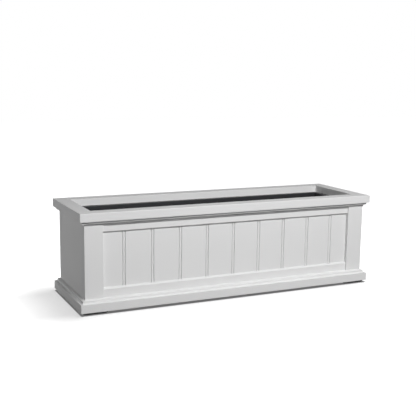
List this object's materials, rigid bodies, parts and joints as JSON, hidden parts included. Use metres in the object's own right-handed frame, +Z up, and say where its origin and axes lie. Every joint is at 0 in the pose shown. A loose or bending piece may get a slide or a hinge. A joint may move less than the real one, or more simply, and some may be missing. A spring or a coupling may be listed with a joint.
{
  "type": "window box planter",
  "caption": "Long rectangular window box planter with a beaded front panel, moulded cap and skirt, corner feet and a lift-out liner with a raised drainage platform.",
  "frame": {"origin": "centre of the footprint, on the floor under the feet", "axes": "+X along the length to the right seen from the front, -Y out of the beaded front, +Z up"},
  "size_m": [0.914, 0.279, 0.274],
  "materials": {
    "white_board": "foamed plastic board, painted white, smooth satin",
    "liner_black": "moulded polyethylene, fine matt texture",
    "platform_grey": "moulded plastic, matt",
    "plug_rubber": "soft rubber, matt",
    "foot_grey": "moulded plastic, matt",
    "screw_steel": "stainless screw"
  },
  "bodies": {
    "box": {"cap_front": "white_board", "cap_right": "white_board", "cap_back": "white_board", "cap_left": "white_board", "bed_mould_front": "white_board", "bed_mould_right": "white_board", "bed_mould_back": "white_board", "bed_mould_left": "white_board", "skirt_front": "white_board", "skirt_right": "white_board", "skirt_back": "white_board", "skirt_left": "white_board", "front_post_left": "white_board", "front_post_right": "white_board", "front_top_rail": "white_board", "front_bottom_rail": "white_board", "bead_board_01": "white_board", "bead_board_02": "white_board", "bead_board_03": "white_board", "bead_board_04": "white_board", "bead_board_05": "white_board", "bead_board_06": "white_board", "bead_board_07": "white_board", "bead_board_08": "white_board", "bead_board_09": "white_board", "bead_board_10": "white_board", "end_board_left": "white_board", "end_board_right": "white_board", "back_board": "white_board", "corner_block_front_left": "white_board", "corner_block_front_right": "white_board", "corner_block_back_left": "white_board", "corner_block_back_right": "white_board", "cap_spline_front_left": "white_board", "cap_spline_front_right": "white_board", "cap_spline_back_left": "white_board", "cap_spline_back_right": "white_board", "cap_dowel_front_left": "white_board", "cap_dowel_front_right": "white_board", "cap_dowel_back_left": "white_board", "cap_dowel_back_right": "white_board", "liner_ledge_front": "white_board", "liner_ledge_back": "white_board", "floor_board_front": "white_board", "floor_board_back": "white_board", "floor_batten_left": "white_board", "floor_batten_middle": "white_board", "floor_batten_right": "white_board", "foot_front_left": "foot_grey", "foot_front_right": "foot_grey", "foot_back_left": "foot_grey", "foot_back_right": "foot_grey", "foot_screw_front_left": "screw_steel", "foot_screw_front_right": "screw_steel", "foot_screw_back_left": "screw_steel", "foot_screw_back_right": "screw_steel"},
    "liner": {"liner": "liner_black"},
    "drainage_platform": {"drainage_platform": "platform_grey"},
    "drain_plug_left": {"drain_plug_left": "plug_rubber"},
    "drain_plug_right": {"drain_plug_right": "plug_rubber"}
  },
  "joints": [
    {"name": "liner_lift", "type": "slide", "parent": "box", "child": "liner", "axis": [0, 0, 1], "range_m": [0, 0.25]},
    {"name": "platform_lift", "type": "slide", "parent": "liner", "child": "drainage_platform", "axis": [0, 0, 1], "range_m": [0, 0.24]},
    {"name": "drain_plug_left_pull", "type": "slide", "parent": "liner", "child": "drain_plug_left", "axis": [0, 0, 1], "range_m": [0, 0.02]},
    {"name": "drain_plug_right_pull", "type": "slide", "parent": "liner", "child": "drain_plug_right", "axis": [0, 0, 1], "range_m": [0, 0.02]}
  ]
}
